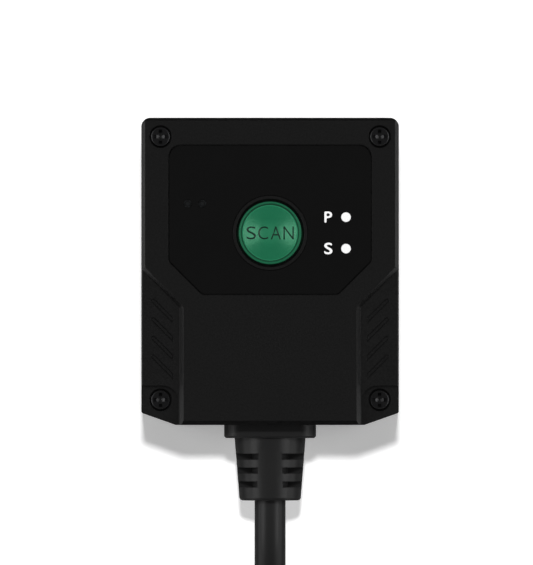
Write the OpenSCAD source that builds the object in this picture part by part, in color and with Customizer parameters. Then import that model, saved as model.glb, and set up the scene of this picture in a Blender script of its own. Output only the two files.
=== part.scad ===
// Compact fixed-mount barcode reader with a scan button, two lights and a moulded-on cable.
// Sizes are in millimetres. +Y is the reading direction, +Z is the button face,
// and the origin is the middle of the underside.

/* [Body] */
// Width of the body across the button face
body_w = 41.5; // [40:0.5:46]
// Depth of the body along the reading direction
body_d = 49.5; // [48:0.5:58]
// Height of the body from the underside to the button face
body_h = 24; // [23.5:0.5:28]
// Height of the bottom case up to the parting line
case_h = 12; // [11.5:0.5:13]
// Wall thickness of both shells
wall = 2; // [1.6:0.1:2.2]
// Thickness of the front wall, which carries the window
front_wall = 3; // [2.8:0.1:3.4]
// Radius of the two front corners
front_corner_r = 1.45; // [1:0.05:2]
// Width of each slanted rear corner
rear_cut_w = 5.55; // [4:0.05:6]
// Depth of each slanted rear corner
rear_cut_d = 1.95; // [1.2:0.05:2.4]
// Radius where the slanted corners meet the sides and the rear
rear_corner_r = 0.4; // [0.2:0.1:0.8]
// Bevel along both sides of the button face
side_bevel = 0.6; // [0.4:0.05:0.7]
// Bevel along the front of the button face
front_bevel = 0.45; // [0.3:0.05:0.7]
// Bevel along the rear of the button face
rear_bevel = 0.7; // [0.3:0.05:0.8]
// Slope of the front and rear bevels
end_slope = 28; // [20:1:45]
// Bevel round the underside
base_bevel = 0.6; // [0.3:0.1:1]
// Height of the shadow line above the parting line
reveal_h = 0.4; // [0.2:0.1:0.6]
// Depth of the shadow line
reveal_d = 0.3; // [0.2:0.1:0.4]
// Height of the locating lip on the bottom case
lip_h = 0.9; // [0.6:0.1:1.2]
// Thickness of the locating lip
lip_t = 0.8; // [0.6:0.1:0.9]
// Clearance round the locating lip
lip_gap = 0.15; // [0.1:0.05:0.2]

/* [Grip pads] */
// Width of each lowered pad, to the middle of its slope
pad_w = 6.48; // [6:0.02:6.6]
// Distance from the front of the body to the outer corner of a pad
pad_front = 23.95; // [23:0.05:26]
// Depth of the pads below the button face
pad_drop = 0.65; // [0.65:0.05:1]
// Width of the slope round the pads
pad_slope = 0.66; // [0.4:0.02:0.8]
// Radius of the inner corner of the pads
pad_corner_r = 1.1; // [0.8:0.1:1.5]
// Bevel along the outer edge of the pads
pad_edge = 0.18; // [0.1:0.02:0.3]
// Number of slanted bars in each pad
grip_count = 4; // [2:1:4]
// Spacing of the bars
grip_pitch = 3; // [2:0.1:3]
// Width of a bar
grip_w = 0.7; // [0.4:0.05:0.9]
// Width of the fine groove round a bar
grip_line = 0.16; // [0.1:0.02:0.2]
// Depth of that groove
grip_depth = 0.25; // [0.1:0.05:0.4]
// Distance from the front of the body to the first bar's rounded end
grip_front = 29.5; // [29:0.1:31]
// Distance from the side of the body to the bars' rounded ends
grip_inset = 1.95; // [1.5:0.05:2.5]
// Distance from the inner edge of the pad to the bars
grip_end_gap = 1.33; // [1:0.01:1.6]

/* [Cover screws] */
// Distance from the side of the body to the screws
screw_side = 3.1; // [2.9:0.05:3.4]
// Distance from the front of the body to the front screws
screw_front = 3.05; // [2.9:0.05:3.4]
// Distance from the rear of the body to the rear screws
screw_rear = 4.05; // [3.8:0.05:4.3]
// Radius of the screw heads
screw_head_r = 1.6; // [1.4:0.05:1.7]
// Height of the screw heads
screw_head_h = 1.3; // [1:0.1:1.4]
// Radius of the screw shanks
screw_r = 1; // [0.8:0.05:1.1]
// Length of the screws under the head
screw_l = 14; // [12:0.5:15]
// Depth of the heads below the surface round them
screw_sink = 0.2; // [0.1:0.05:0.4]
// Clearance round the heads
screw_head_gap = 0.23; // [0.1:0.01:0.3]
// Clearance round the shanks in the cover
screw_gap = 0.15; // [0.05:0.05:0.2]
// Clearance round the shanks in the case
thread_gap = 0.05; // [0.02:0.01:0.08]
// Radius of the corner posts
post_r = 3; // [2.8:0.1:3.2]
// Length of the rear pockets from the rear of the body
pocket_l = 6.35; // [6:0.05:6.6]
// Width of the rear pockets from the side of the body
pocket_w = 6.05; // [5.6:0.05:6.1]
// Depth of the rear pockets below the button face
pocket_drop = 2; // [1.4:0.1:2.4]
// Radius of the inner corner of the rear pockets
pocket_r = 2.6; // [1.5:0.1:3]

/* [Panel film] */
// Distance of the film from the body's side
panel_side = 4.55; // [4.05:0.05:5.25]
// Depth of the panel film
panel_d = 23.85; // [23.6:0.05:24.4]
// Distance from the front of the body to the panel film
panel_front = 4.52; // [4.1:0.02:4.6]
// Thickness of the panel film
panel_t = 0.25; // [0.15:0.05:0.4]
// Depth of the film's surface below the button face
panel_sink = 0.1; // [0.05:0.05:0.2]
// Clearance round the panel film
panel_gap = 0.2; // [0.05:0.01:0.25]
// Radius of the front corners of the film
panel_corner_r = 2; // [1:0.1:3]
// Size of the slanted rear corners of the film
panel_cut = 5.3; // [5:0.02:6]
// Radius at the ends of the slanted corners
panel_cut_r = 1.2; // [0.5:0.1:2]

/* [Button] */
// Distance from the front of the body to the middle of the button
button_front = 18.55; // [18.4:0.05:19]
// Radius of the button
button_r = 5.05; // [4.6:0.05:5.3]
// Clearance round the button
button_gap = 0.24; // [0.2:0.02:0.4]
// Height of the button's rim above the button face
button_proud = 0.3; // [0.1:0.05:0.5]
// Width of the raised rim of the button
rim_w = 0.35; // [0.3:0.05:0.8]
// Width of the groove inside the rim
rim_groove_w = 0.25; // [0.15:0.05:0.4]
// Depth of the groove inside the rim
rim_groove_depth = 0.35; // [0.2:0.05:0.5]
// Height of the dome over the button's face
button_dome = 0.25; // [0.1:0.05:0.25]
// Travel of the button
button_travel = 0.4; // [0.2:0.05:0.5]
// Width of the collar round the button
collar_w = 0.7; // [0.4:0.02:0.9]
// Bevel inside the collar
collar_edge = 0.24; // [0.1:0.02:0.3]
// Width of the flange that keeps the button in
flange_w = 1; // [0.7:0.1:1.2]
// Thickness of that flange
flange_t = 0.8; // [0.6:0.1:0.9]
// Clearance between the flange and the cover
flange_gap = 0.3; // [0.3:0.05:0.4]
// Wall of the button's cap
cap_wall = 1.2; // [0.9:0.1:1.4]
// Radius of the switch plunger
plunger_r = 1.7; // [1.4:0.1:1.9]
// Clearance round the switch plunger
plunger_gap = 0.3; // [0.2:0.05:0.35]
// Width of the switch
switch_w = 6.2; // [6:0.1:6.6]
// Height of the switch
switch_h = 1.9; // [1.7:0.1:1.9]

/* [Lights and sounder] */
// Distance of the lights from the film's side
light_side = 3.97; // [3.8:0.01:4.9]
// Distance from the front of the body to the power light
light_front = 16.01; // [15.8:0.01:16.5]
// Spacing of the two lights
light_pitch = 5.07; // [4:0.01:5.5]
// Radius of the lights
light_r = 0.76; // [0.6:0.02:1]
// Clearance round the lights
light_gap = 0.06; // [0.04:0.01:0.1]
// Radius of the light pipes under the cover
pipe_r = 1.1; // [1:0.05:1.3]
// Radius of the collar of a light pipe
pipe_collar_r = 1.6; // [1.5:0.05:1.8]
// Thickness of that collar
pipe_collar_t = 0.8; // [0.6:0.1:1]
// Gap between a light pipe and its diode
pipe_gap = 0.3; // [0.1:0.1:0.4]
// Height of the indicator diodes
diode_h = 0.6; // [0.4:0.1:0.8]
// Distance of the sound ports' middle from the film's side
sound_side = 4.1; // [3.9:0.05:4.6]
// Distance from the front of the body to the sound ports
sound_front = 13.85; // [13.6:0.05:14.2]
// Spacing of the two sound ports
sound_pitch = 2.33; // [2:0.01:3]
// Radius of a sound port
sound_r = 0.35; // [0.25:0.05:0.5]
// Radius of the mouth of a sound port
sound_mouth_r = 0.67; // [0.5:0.01:0.8]
// Depth of the mouth of a sound port
sound_mouth_depth = 0.5; // [0.3:0.05:0.8]
// Clearance round the vent in a sound port
vent_gap = 0.06; // [0.03:0.01:0.1]
// Depth of the vents below the film's surface
vent_sink = 0.04; // [0.02:0.01:0.1]
// Radius of the sounder
sounder_r = 3.8; // [3.4:0.1:3.9]
// Height of the sounder
sounder_h = 3.2; // [2.6:0.1:3.5]

/* [Window] */
// Width of the window
window_w = 31; // [28:0.5:31]
// Height of the window above and below the engine
window_margin = 0.75; // [0.3:0.05:0.9]
// Thickness of the window
window_t = 1.5; // [1:0.1:1.6]
// Radius of the window's corners
window_r = 2; // [1:0.1:3]
// Depth of the window behind the front of the body
window_sink = 0.2; // [0.1:0.05:0.3]
// Clearance round the window
window_gap = 0.1; // [0.05:0.01:0.2]
// Thickness of the seal behind the window
seal_t = 0.3; // [0.2:0.05:0.4]
// Width of the ledge that carries the seal
ledge_w = 1.6; // [1.2:0.1:2]

/* [Main board] */
// Depth of the board's upper face below the inside of the cover
board_drop = 3.8; // [3.8:0.1:4]
// Thickness of the main board
board_t = 1.2; // [1:0.1:1.4]
// Clearance round the main board
board_gap = 0.7; // [0.5:0.1:1]
// Radius of the board posts
board_post_r = 2; // [1.8:0.1:2]
// Distance from the side of the board to its posts
board_post_side = 2.3; // [2.2:0.1:2.6]
// Distance from the ends of the board to its posts
board_post_end = 2.2; // [2.1:0.1:3]
// Radius of the small screws' shanks
small_r = 0.7; // [0.5:0.05:0.8]
// Radius of the small screws' heads
small_head_r = 1.3; // [1.1:0.05:1.5]
// Height of the small screws' heads
small_head_h = 0.9; // [0.7:0.05:1]
// Length of the small screws under the head
small_l = 3.6; // [3:0.1:3.8]
// Side of the decoder chip
decoder_w = 12; // [9:0.5:12]
// Height of the decoder chip
decoder_h = 1.4; // [1:0.1:1.8]
// Width of the memory chip
memory_w = 8; // [6:0.5:9]
// Height of the memory chip
memory_h = 1; // [0.8:0.1:1.4]
// Number of capacitors in the row beside the chips
capacitor_count = 6; // [3:1:7]

/* [Reading engine] */
// Width of the engine
engine_w = 21; // [20:0.5:21.5]
// Clearance of the engine under the main board
engine_top_gap = 1; // [0.6:0.1:1.5]
// Depth of the engine's chassis
engine_d = 10.5; // [10:0.1:11]
// Gap between the engine and the inside of the front wall
engine_gap = 0.6; // [0.4:0.1:1]
// Height of the engine above the floor of the case
engine_lift = 1; // [0.8:0.1:1.2]
// Radius of the lens barrel
barrel_r = 3.9; // [3.4:0.1:4]
// Clearance round the lens barrel
barrel_gap = 0.1; // [0.05:0.01:0.15]
// Length of the lens barrel
barrel_l = 6.6; // [6:0.1:7]
// Radius of the lens
lens_r = 2.6; // [2:0.1:2.8]
// Thickness of the lens at its middle
lens_t = 1.6; // [1.2:0.1:1.8]
// Distance of the illumination from the lens axis
lamp_x = 7.4; // [7.2:0.05:7.5]
// Width of a lamp recess
lamp_w = 4.6; // [4:0.1:4.8]
// Height of a lamp recess
lamp_h = 9; // [8.5:0.1:10]
// Depth of a lamp recess
lamp_depth = 2; // [1.5:0.1:2.5]
// Side of a lamp
diode_w = 3; // [2.4:0.1:3.4]
// Distance of each lamp above or below the lens axis
diode_z = 2.3; // [2:0.1:2.6]
// Thickness of the sensor board
sensor_board_t = 1; // [0.8:0.1:1.2]
// Width of the image sensor
sensor_w = 6.4; // [5:0.1:7]
// Thickness of the image sensor
sensor_t = 1.2; // [0.8:0.1:1.6]
// Width of the ribbon
ribbon_w = 8; // [6:0.5:10]
// Thickness of the ribbon
ribbon_t = 0.2; // [0.1:0.05:0.3]
// Inside radius of the ribbon's bend
ribbon_bend = 1; // [0.6:0.1:1.4]
// Distance of the engine's lugs from the lens axis
lug_x = 12.6; // [12.4:0.1:12.8]
// Distance of the engine's lugs behind its front
lug_back = 3; // [2.6:0.1:3.4]
// Radius of the lugs
lug_r = 2; // [1.8:0.1:2.2]
// Thickness of the lugs
lug_t = 1.6; // [1.2:0.1:2]

/* [Mounting inserts] */
// Distance of an insert from the body's side
insert_side = 5.75; // [5.5:0.05:6]
// Distance of an insert from the body's end
insert_end = 12.75; // [11.75:0.25:14.75]
// Radius of the inserts' threaded bore
insert_bore_r = 1.25; // [1:0.05:1.5]
// Outside radius of the inserts
insert_r = 2.1; // [1.9:0.05:2.4]
// Length of the inserts
insert_l = 4; // [3.5:0.1:4.5]
// Clearance round the inserts
insert_gap = 0.05; // [0.02:0.01:0.08]
// Wall of the bosses that hold the inserts
boss_wall = 1.5; // [1.2:0.1:1.6]

/* [Strain relief] */
// Width of the outer flange
relief_w = 14.84; // [14:0.02:16]
// Height of the outer flange
relief_h = 13.4; // [12.8:0.1:14]
// Thickness of the outer flange
relief_t = 2.15; // [1.6:0.05:2.6]
// Radius of the outer flange's corners
relief_r = 2.7; // [2:0.1:3.5]
// Length of the boot
boot_l = 10.1; // [10:0.1:12]
// Radius of the boot at the flange
boot_r1 = 5.74; // [5.4:0.02:6]
// Radius of the boot at its end
boot_r2 = 4.94; // [4.4:0.02:5.2]
// Rounding at the end of the boot
boot_round = 0.4; // [0.2:0.1:0.6]
// Number of slots in each side of the boot
boot_slots = 3; // [1:1:3]
// Spacing of the slots
boot_pitch = 2.25; // [2:0.05:2.4]
// Width of a slot
boot_slot_w = 0.98; // [0.7:0.02:1.2]
// Distance from the flange to the middle of the first slot
boot_slot_start = 3; // [2.4:0.1:3.2]
// Half the height of the rib that is left along each side
boot_rib = 0.6; // [0.4:0.1:1]
// Half the width of the boot's core at its middle
core_w = 2.9; // [2.7:0.1:3.2]
// Radius of the two arcs that bound the core
core_r = 13.2; // [10:0.2:16]
// Radius of the neck in the wall
neck_r = 4.4; // [4:0.1:4.8]
// Clearance round the neck
neck_gap = 0.1; // [0.05:0.01:0.2]
// Radius of the inner flange
anchor_r = 6.2; // [5.6:0.1:6.6]
// Thickness of the inner flange
anchor_t = 1.8; // [1.2:0.1:2]
// Radius of the stub where the leads come out
stub_r = 3.6; // [3.2:0.1:4]
// Length of that stub
stub_l = 0.8; // [0.5:0.1:1]
// Number of leads inside the cable
lead_count = 5; // [4:1:6]
// Radius of a lead
lead_r = 0.45; // [0.35:0.05:0.5]
// Spacing of the leads
lead_pitch = 1.25; // [1.1:0.05:1.25]
// Distance of the leads below the main board
lead_drop = 4.4; // [3.6:0.1:4.8]
// Length of the lead plug
lead_plug_l = 3.6; // [3:0.1:4]
// Height of the lead plug
lead_plug_h = 3; // [2.6:0.1:3.2]
// Depth of the board socket along the body
socket_d = 4; // [3:0.1:4.5]
// Distance from the rear of the board to the socket
socket_rear = 3.8; // [3.8:0.1:4.4]

/* [Cable and plug] */
// Diameter of the cable
cable_d = 5; // [4.6:0.1:5.2]
// Radius of the outermost turn of the coil
turn_out = 32.5; // [32:0.1:33]
// Radius of the innermost turn of the coil
turn_in = 18; // [17.5:0.1:18.5]
// Number of layers in the coil
coil_layers = 3; // [3:1:3]
// Thickness of the tie
tie_t = 0.8; // [0.6:0.1:1]
// Width of the tie
tie_w = 6; // [4:0.5:10]
// Width of the plug's grip
grip_plug_w = 15.6; // [14:0.2:17]
// Thickness of the plug's grip
grip_plug_h = 8; // [7.6:0.1:8]
// Length of the plug's grip
grip_plug_l = 17; // [16:0.5:20]
// Radius of the grip's corners
grip_plug_r = 2; // [1:0.1:3]
// Length of the plug's boot
plug_boot_l = 7; // [6:0.5:9]
// Radius of the plug's boot at the grip
plug_boot_r1 = 3.7; // [3.4:0.1:3.8]
// Radius of the plug's boot at the cable
plug_boot_r2 = 3; // [2.8:0.1:3.2]
// Width of the plug's shell
shell_w = 12; // [11.8:0.1:12.2]
// Height of the plug's shell
shell_h = 4.5; // [4.3:0.1:4.6]
// Length of the plug's shell
shell_l = 18.75; // [18:0.05:19]
// Wall of the plug's shell
shell_t = 0.3; // [0.25:0.01:0.4]
// Thickness of the plug's tongue
tongue_t = 1.9; // [1.7:0.05:2]
// Distance of the tongue's end behind the shell's end
tongue_back = 0.6; // [0.4:0.1:1]
// Number of contacts
contact_count = 4; // [4:1:4]
// Spacing of the contacts
contact_pitch = 2.2; // [2:0.05:2.5]
// Width of a contact
contact_w = 1; // [0.8:0.1:1.4]
// Length of a contact
contact_l = 9; // [7:0.5:12]
// Thickness of a contact
contact_t = 0.15; // [0.1:0.05:0.2]

/* [Hidden] */
$fn = 48;

// A little extra so that a cut passes clean through a face
over = 1;

half_w = body_w / 2;
front_y = body_d / 2;
rear_y = -body_d / 2;
inner_x = half_w - wall;
inner_front = front_y - front_wall;
inner_rear = rear_y + wall;
inner_r = 1;
least_r = 0.3;
roof_z = body_h - wall;

pad_x = half_w - pad_w;
pad_z = body_h - pad_drop;
pad_end = front_y - pad_front - pad_slope;
pocket_z = body_h - pocket_drop;
pocket_x = half_w - pocket_w;

screw_x = half_w - screw_side;
screw_front_y = front_y - screw_front;
screw_rear_y = rear_y + screw_rear;
screw_seat_front = body_h - screw_sink - screw_head_h;
screw_seat_rear = pocket_z - screw_sink - screw_head_h;
screw_floor = 1.5;
// The rounded edge of a screw head: its width and its height
head_edge_w = 0.22;
head_edge_h = 0.36;
head_edge_steps = 3;
// The cross recess: its reach, half its arms' width and its shallow middle, as shares of the head's radius
cross_reach_share = 0.73;
cross_half_share = 0.18;
cross_middle_share = 0.42;
// How deep its steep ends and its middle go, as shares of the head's height
cross_end_share = 0.45;
cross_sink_share = 0.7;

panel_x = half_w - panel_side;
panel_top = front_y - panel_front;
panel_bottom = panel_top - panel_d;
panel_z = body_h - panel_sink - panel_t;
collar_in = button_r + button_gap;
collar_r = collar_in + collar_w;
button_y = front_y - button_front;
rim_z = body_h + button_proud;
rim_round = 0.12;
flange_z = roof_z - flange_gap - flange_t;
light_x = panel_x - light_side;
light_y = front_y - light_front;
sound_x = panel_x - sound_side;
sound_y = front_y - sound_front;

board_z = roof_z - board_drop;
board_x = inner_x - board_gap;
board_front = screw_front_y - post_r - board_gap;
board_rear = screw_rear_y + post_r + board_gap;
board_post_x = board_x - board_post_side;
board_post_front = board_front - board_post_end;
board_post_rear = board_rear + board_post_end;
capacitor_size = [1.6, 0.9, 0.9];
capacitor_rear = 1.4;
capacitor_y = board_rear + capacitor_rear;
chip_y = (capacitor_y + capacitor_size[1] + button_y - switch_w / 2) / 2;
// Share of the decoder chip's width on the -X side of the middle
decoder_share = 0.9;
pilot_spare = 0.3;
plunger_well = 1.2;
plunger_z = board_z + switch_h - plunger_well + button_travel + plunger_gap;

engine_front = inner_front - engine_gap;
engine_rear = engine_front - engine_d;
engine_z = wall + engine_lift;
engine_h = board_z - board_t - engine_top_gap - engine_z;
axis_z = engine_z + engine_h / 2;
sensor_gap = 0.6;
sensor_room = barrel_r * 2;
barrel_back = 0.4;
barrel_front = engine_front - barrel_back;
lens_sink = 0.4;
lens_seat_gap = 0.05;
ribbon_rise = 3.6;
ribbon_z = axis_z + ribbon_rise;
ribbon_run = 2.2;
lug_y = engine_front - lug_back;
lamp_diode_t = 0.9;

window_front = front_y - window_sink;
seal_front = window_front - window_t;
window_h = engine_h + 2 * window_margin;
opening_w = window_w - 2 * ledge_w;
opening_h = window_h - 2 * ledge_w;

insert_spare = 0.2;
insert_top = insert_l + insert_spare;
insert_places = [
    for (sx = [-1, 1], sy = [-1, 1]) [sx * (half_w - insert_side), sy * (front_y - insert_end)]
];

boot_y = rear_y - relief_t;
boot_end = boot_y - boot_l;
stub_end = inner_rear + anchor_t + stub_l;
lead_z = board_z - board_t - lead_drop;
socket_y = board_rear + socket_rear;
lead_plug_rear = socket_y - lead_plug_l;
lead_margin = 0.8;
lead_plug_w = lead_count * lead_pitch + 2 * lead_margin;
socket_wall = 0.8;
relief_edge = 0.3;

cable_r = cable_d / 2;
// The cable down to the table and round to the coil, measured from the boot's end
run_points = [
    [0, 0, 12], [0, -3, 12], [0, -6, 11.7], [0, -9, 11], [0, -12, 10], [0, -15, 8.8], [0, -19, 7.1],
    [-0.4, -23.2, 5.4], [-1.4, -27.2, 4.1], [-3.2, -31, 3.4], [-5.6, -34.4, 3.3], [-7.9, -36.5, 3.3]
];
// The cable from the innermost turn up over the coil to the plug, measured from the coil's middle
tail_points = [
    [0, 19.6, 13.3], [-1.5, 19.6, 13.3], [-5.1, 18.9, 13.8], [-9.8, 17, 15], [-13.9, 13.9, 16.5],
    [-17, 9.8, 18.1], [-18.9, 5.1, 19.3], [-19.6, 0, 19.8], [-19.6, -2, 19.8]
];
run_end = run_points[len(run_points) - 1];
run_before = run_points[len(run_points) - 2];
// The angle through which the cable has turned where it meets the coil
run_turn = atan2(run_before[0] - run_end[0], run_before[1] - run_end[1]);
tail_start = tail_points[0];
tail_end = tail_points[len(tail_points) - 1];
cord_sides = 10;

coil_mid = [
    run_end[0] + turn_out * cos(run_turn),
    boot_end + run_end[1] - turn_out * sin(run_turn)
];
coil_in = turn_in - cable_r;
coil_out = turn_out + cable_r;
coil_top = tie_t + coil_layers * cable_d;
channel_gap = 0.4;
tie_gap = 0.3;
plug_x = coil_mid[0] + tail_end[0];
plug_y = coil_mid[1] + tail_end[1];
plug_z = coil_top + grip_plug_h / 2;
shell_r = 0.7;
shell_y = plug_y - plug_boot_l - grip_plug_l;

shell_black = "#1b1b1c";
film_black = "#131314";
pvc_black = "#262627";
board_green = "#1d5a3a";

// Rounded outlines: each corner is [x, y, radius], counter-clockwise and convex
function unit(v) = v / norm(v);
function spot(c) = [c[0], c[1]];
function edge_from(corners, i, step) =
    let (n = len(corners)) unit(spot(corners[(i + step + n) % n]) - spot(corners[i]));
function corner_arc(corners, i) =
    let (
        before = edge_from(corners, i, -1),
        after = edge_from(corners, i, 1),
        half = acos(before * after) / 2,
        r = corners[i][2],
        p = spot(corners[i])
    )
    [p + before * r / tan(half), p + after * r / tan(half), p + unit(before + after) * r / sin(half)];

module rounded_outline(corners) {
    last = len(corners) - 1;
    arcs = [for (i = [0 : last]) corner_arc(corners, i)];
    polygon([for (i = [0 : last]) each (corners[i][2] > 0 ? [arcs[i][0], arcs[i][1]] : [arcs[i][0]])]);
    for (i = [0 : last]) {
        if (corners[i][2] > 0) {
            translate(arcs[i][2]) circle(r = corners[i][2]);
        }
    }
}

module rounded_rect(w, h, r) {
    rounded_outline([[w / 2, h / 2, r], [-w / 2, h / 2, r], [-w / 2, -h / 2, r], [w / 2, -h / 2, r]]);
}

// Extrudes an outline drawn in X and Z towards the rear, from y = 0
module rearward(length) {
    rotate([90, 0, 0]) linear_extrude(length) children();
}

module both_sides() {
    children();
    mirror([1, 0, 0]) children();
}

// A cylinder along Y that runs towards the rear
module rear_cylinder(length, r) {
    rotate([90, 0, 0]) cylinder(h = length, r = r);
}

// The plan of the body, drawn in by an even inset
function body_corners(inset) =
    let (
        t = rear_cut_d / rear_cut_w,
        s = sqrt(1 + t * t),
        x = half_w - inset,
        slant_x = half_w - rear_cut_w + inset * (1 - s) / t,
        slant_y = rear_y + rear_cut_d + inset * (s - t),
        front_r = max(front_corner_r - inset, least_r)
    )
    [
        [x, front_y - inset, front_r], [-x, front_y - inset, front_r],
        [-x, slant_y, rear_corner_r], [-slant_x, rear_y + inset, rear_corner_r],
        [slant_x, rear_y + inset, rear_corner_r], [x, slant_y, rear_corner_r]
    ];

module body_plan(inset) {
    rounded_outline(body_corners(inset));
}

module cavity_plan() {
    rounded_outline([
        [inner_x, inner_front, inner_r], [-inner_x, inner_front, inner_r],
        [-inner_x, inner_rear, inner_r], [inner_x, inner_rear, inner_r]
    ]);
}

// The plan of the locating lip, along both sides and the rear
module lip_plan(inset, front) {
    intersection() {
        body_plan(inset);
        translate([-half_w, rear_y]) square([body_w, front - rear_y]);
    }
}

// A bar on its edge, which cuts a bevel of the given width and slope
module bevel_bar(length, size, slope = 45) {
    drop = size * tan(slope);
    rotate([90, 0, 0])
        linear_extrude(length, center = true)
            polygon([[size, 0], [0, drop], [-size, 0], [0, -drop]]);
}

module at_cover_screws() {
    both_sides() {
        translate([screw_x, screw_front_y, screw_seat_front]) children();
        translate([screw_x, screw_rear_y, screw_seat_rear]) children();
    }
}

module corner_posts(z0, z1, gap) {
    both_sides() {
        for (y = [screw_front_y, screw_rear_y]) {
            translate([screw_x, y, z0]) cylinder(h = z1 - z0, r = post_r + gap);
        }
    }
}

module at_board_posts() {
    both_sides() {
        for (y = [board_post_front, board_post_rear]) {
            translate([board_post_x, y, 0]) children();
        }
    }
}

module at_lugs() {
    both_sides() {
        translate([lug_x, lug_y, 0]) children();
    }
}

// The lowered grip pad on the +X side, with a slope all round
module pad_cut() {
    r = pad_corner_r;
    diagonal = front_y - pad_front - half_w;
    beyond = 6;
    far = half_w + beyond;
    low = rear_y - beyond;
    centres = [
        [pad_x + r, pad_x + diagonal + r - r * sqrt(2)],
        [far, far + diagonal - r * sqrt(2)],
        [far, low],
        [pad_x + r, low]
    ];
    hull() {
        for (c = centres) {
            translate([c[0], c[1], pad_z])
                cylinder(h = pad_drop + over, r1 = r - pad_slope / 2,
                    r2 = r - pad_slope / 2 + pad_slope * (pad_drop + over) / pad_drop, $fn = 32);
        }
    }
}

module pocket_plan(grow) {
    rounded_outline([
        [half_w + over, rear_y + pocket_l + grow, 0],
        [pocket_x - grow, rear_y + pocket_l + grow, pocket_r],
        [pocket_x - grow, rear_y - over, 0],
        [half_w + over, rear_y - over, 0]
    ]);
}

// The plan of a slanted bar, with its rounded end at y = 0
module grip_plan(inset) {
    start_x = half_w - grip_inset;
    stop_x = pad_x + grip_end_gap + inset;
    intersection() {
        union() {
            translate([start_x, 0]) circle(d = grip_w - 2 * inset);
            translate([start_x, 0]) rotate(225) translate([0, inset - grip_w / 2])
                square([pad_w * 2, grip_w - 2 * inset]);
        }
        translate([stop_x, -pad_w * 2]) square([pad_w, pad_w * 3]);
    }
}

// The fine grooves that outline the bars in the +X pad
module grip_lines() {
    for (i = [0 : grip_count - 1]) {
        translate([0, front_y - grip_front - i * grip_pitch, pad_z - grip_depth])
            linear_extrude(grip_depth + over)
                difference() {
                    grip_plan(0);
                    grip_plan(grip_line);
                }
    }
}

// The outside of the cover
module cover_form() {
    difference() {
        union() {
            translate([0, 0, case_h + reveal_h])
                linear_extrude(body_h - case_h - reveal_h) body_plan(0);
            translate([0, 0, case_h]) linear_extrude(reveal_h + wall) body_plan(reveal_d);
        }
        both_sides() {
            translate([half_w, 0, body_h]) bevel_bar(body_d + over, side_bevel);
            pad_cut();
            translate([half_w, (pad_end + rear_y) / 2, pad_z]) bevel_bar(pad_end - rear_y, pad_edge);
            translate([0, 0, pocket_z]) linear_extrude(pocket_drop + over) pocket_plan(0);
            grip_lines();
        }
        translate([0, front_y, body_h]) rotate(90) bevel_bar(body_w + over, front_bevel, end_slope);
        translate([0, rear_y, body_h]) rotate(90) bevel_bar(body_w + over, rear_bevel, end_slope);
    }
}

// What stays solid inside the cover: posts, board posts and the floors of the rear pockets
module cover_inside() {
    corner_posts(case_h - over, body_h, 0);
    at_board_posts() translate([0, 0, board_z]) cylinder(h = roof_z - board_z + over, r = board_post_r);
    both_sides() {
        translate([0, 0, pocket_z - wall]) linear_extrude(wall + over) pocket_plan(wall);
    }
}

// The opening for the window, with its rebate from the front
module window_cut() {
    translate([0, front_y + over, axis_z])
        rearward(over + window_sink + window_t + seal_t)
            rounded_rect(window_w + 2 * window_gap, window_h + 2 * window_gap, window_r);
    translate([0, front_y + over, axis_z])
        rearward(over + front_wall + over)
            rounded_rect(opening_w, opening_h, window_r);
}

module neck_cut() {
    translate([0, inner_rear + over, case_h]) rear_cylinder(wall + 2 * over, neck_r + neck_gap);
}

function panel_corners(grow) =
    let (
        x = panel_x + grow,
        cut = panel_cut + grow * (2 - sqrt(2)),
        top = panel_top + grow,
        bottom = panel_bottom - grow
    )
    [
        [x, top, panel_corner_r], [-x, top, panel_corner_r],
        [-x, bottom + cut, panel_cut_r], [-x + cut, bottom, panel_cut_r],
        [x - cut, bottom, panel_cut_r], [x, bottom + cut, panel_cut_r]
    ];

module at_lights() {
    for (i = [0, 1]) {
        translate([light_x, light_y - i * light_pitch, 0]) children();
    }
}

module at_sound_ports() {
    for (s = [-0.5, 0.5]) {
        translate([-sound_x + s * sound_pitch, sound_y, 0]) children();
    }
}

module top_cover() {
    color(shell_black)
    difference() {
        cover_form();
        difference() {
            union() {
                translate([0, 0, case_h - over]) linear_extrude(roof_z - case_h + over) cavity_plan();
                translate([0, 0, case_h - over])
                    linear_extrude(lip_h + lip_gap + over) lip_plan(wall - lip_t - lip_gap, inner_front);
            }
            cover_inside();
        }
        difference() {
            translate([0, 0, panel_z]) linear_extrude(over) rounded_outline(panel_corners(panel_gap));
            translate([0, button_y, panel_z - over]) cylinder(h = 3 * over, r = collar_r);
        }
        translate([0, button_y, roof_z - over]) cylinder(h = wall + 2 * over, r = collar_in);
        translate([0, button_y, body_h - collar_edge])
            cylinder(h = 2 * collar_edge, r1 = collar_in, r2 = collar_in + 2 * collar_edge);
        at_lights() translate([0, 0, roof_z - over]) cylinder(h = wall + over, r = light_r + light_gap);
        at_sound_ports() {
            translate([0, 0, roof_z - over]) cylinder(h = wall + over, r = sound_r);
            translate([0, 0, panel_z - sound_mouth_depth]) cylinder(h = over, r = sound_mouth_r);
        }
        at_cover_screws() {
            cylinder(h = body_h, r = screw_head_r + screw_head_gap);
            translate([0, 0, -body_h]) cylinder(h = body_h + over, r = screw_r + screw_gap);
        }
        at_board_posts() translate([0, 0, board_z - over])
            cylinder(h = small_l - board_t + pilot_spare + over, r = small_r + thread_gap);
        window_cut();
        neck_cut();
    }
}

// What stays solid inside the case: posts, insert bosses and the engine's pads
module case_inside() {
    margin = 1;
    corner_posts(0, case_h + over, 0);
    for (p = insert_places) {
        translate(p) cylinder(h = insert_top + boss_wall, r = insert_r + boss_wall);
    }
    at_lugs() cylinder(h = engine_z, r = lug_r);
    translate([-engine_w / 4, engine_rear + margin, 0])
        cube([engine_w / 2, engine_d - 2 * margin, engine_z]);
}

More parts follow.
